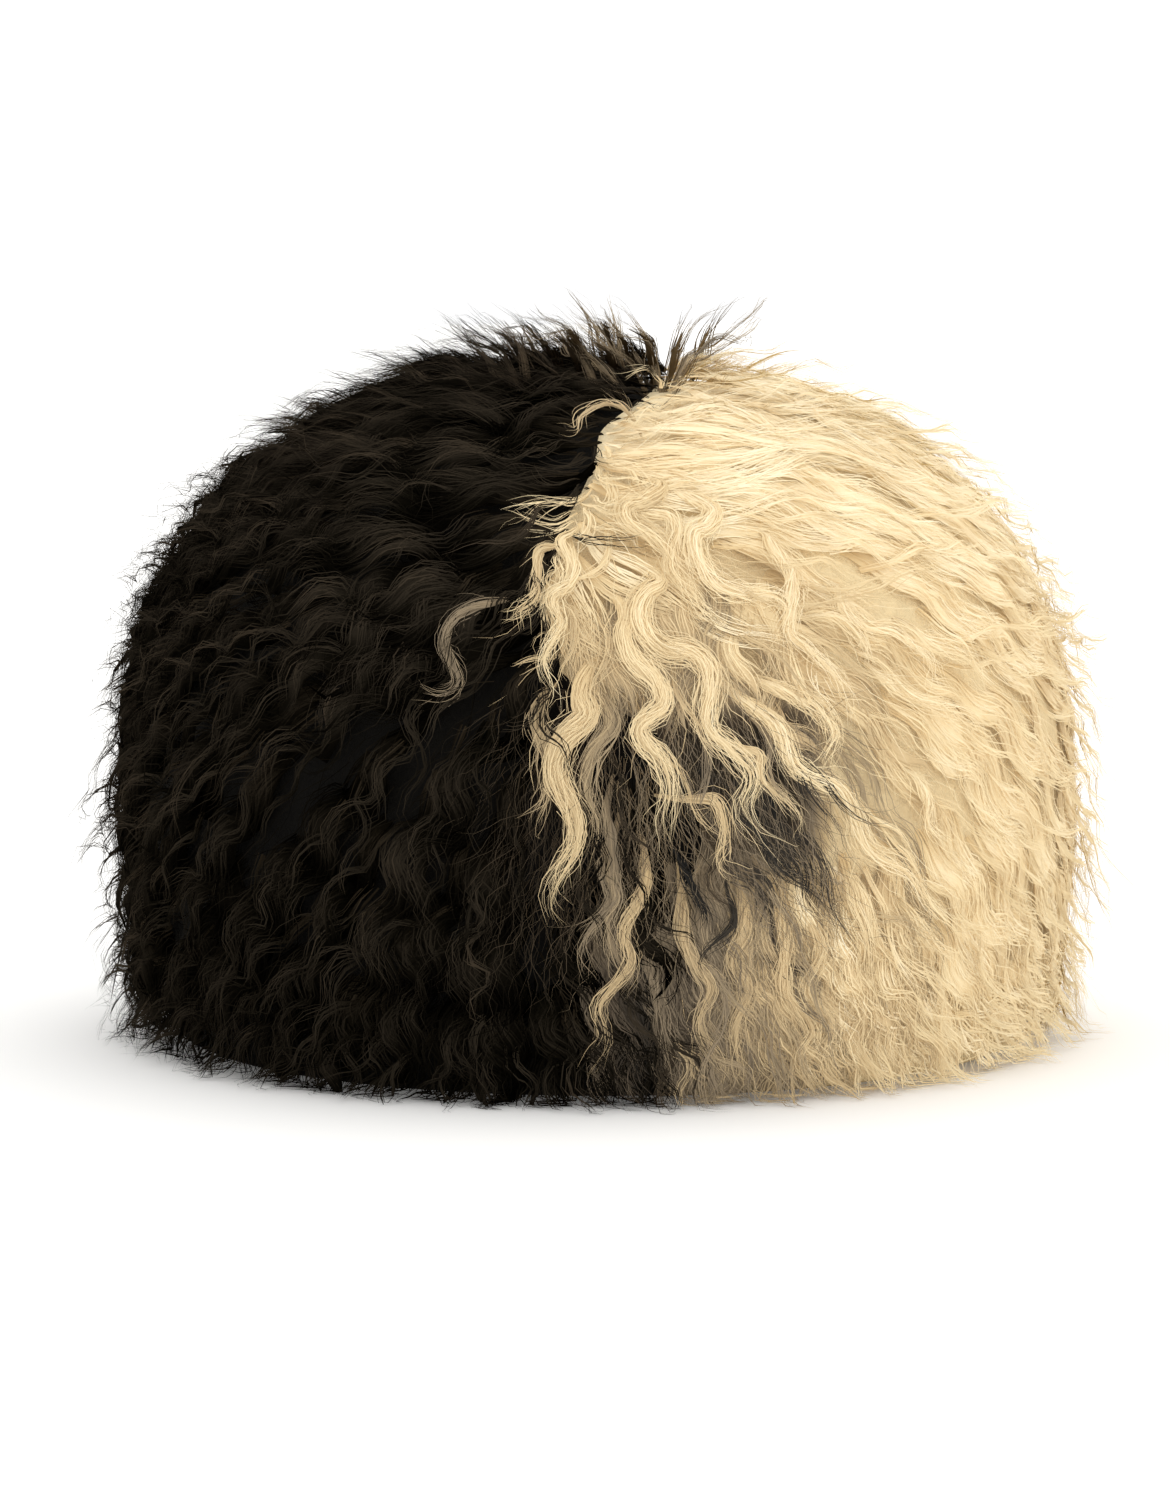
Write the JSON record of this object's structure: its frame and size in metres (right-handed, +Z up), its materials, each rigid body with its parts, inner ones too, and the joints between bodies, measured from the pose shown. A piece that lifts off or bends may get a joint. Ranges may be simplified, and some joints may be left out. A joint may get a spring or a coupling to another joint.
{
  "type": "papakha",
  "caption": "Dome-shaped long-haired sheepskin hat, dark wool on one half and cream on the other, open below for the head.",
  "frame": {"origin": "middle of the base, on the surface that the hat rests on", "axes": "+Z up through the crown, -Y to the front where the two colours part, +X to the cream half"},
  "size_m": [0.327, 0.334, 0.2415],
  "materials": {
    "dark_hide": "brushed suede side of a dark sheepskin",
    "cream_hide": "brushed suede side of a pale sheepskin",
    "dark_fleece": "long wavy wool, near black",
    "cream_fleece": "long wavy wool, cream"
  },
  "bodies": {
    "root": {"dark_hide": "dark_hide", "cream_hide": "cream_hide", "dark_fleece": "dark_fleece", "cream_fleece": "cream_fleece"}
  },
  "joints": []
}
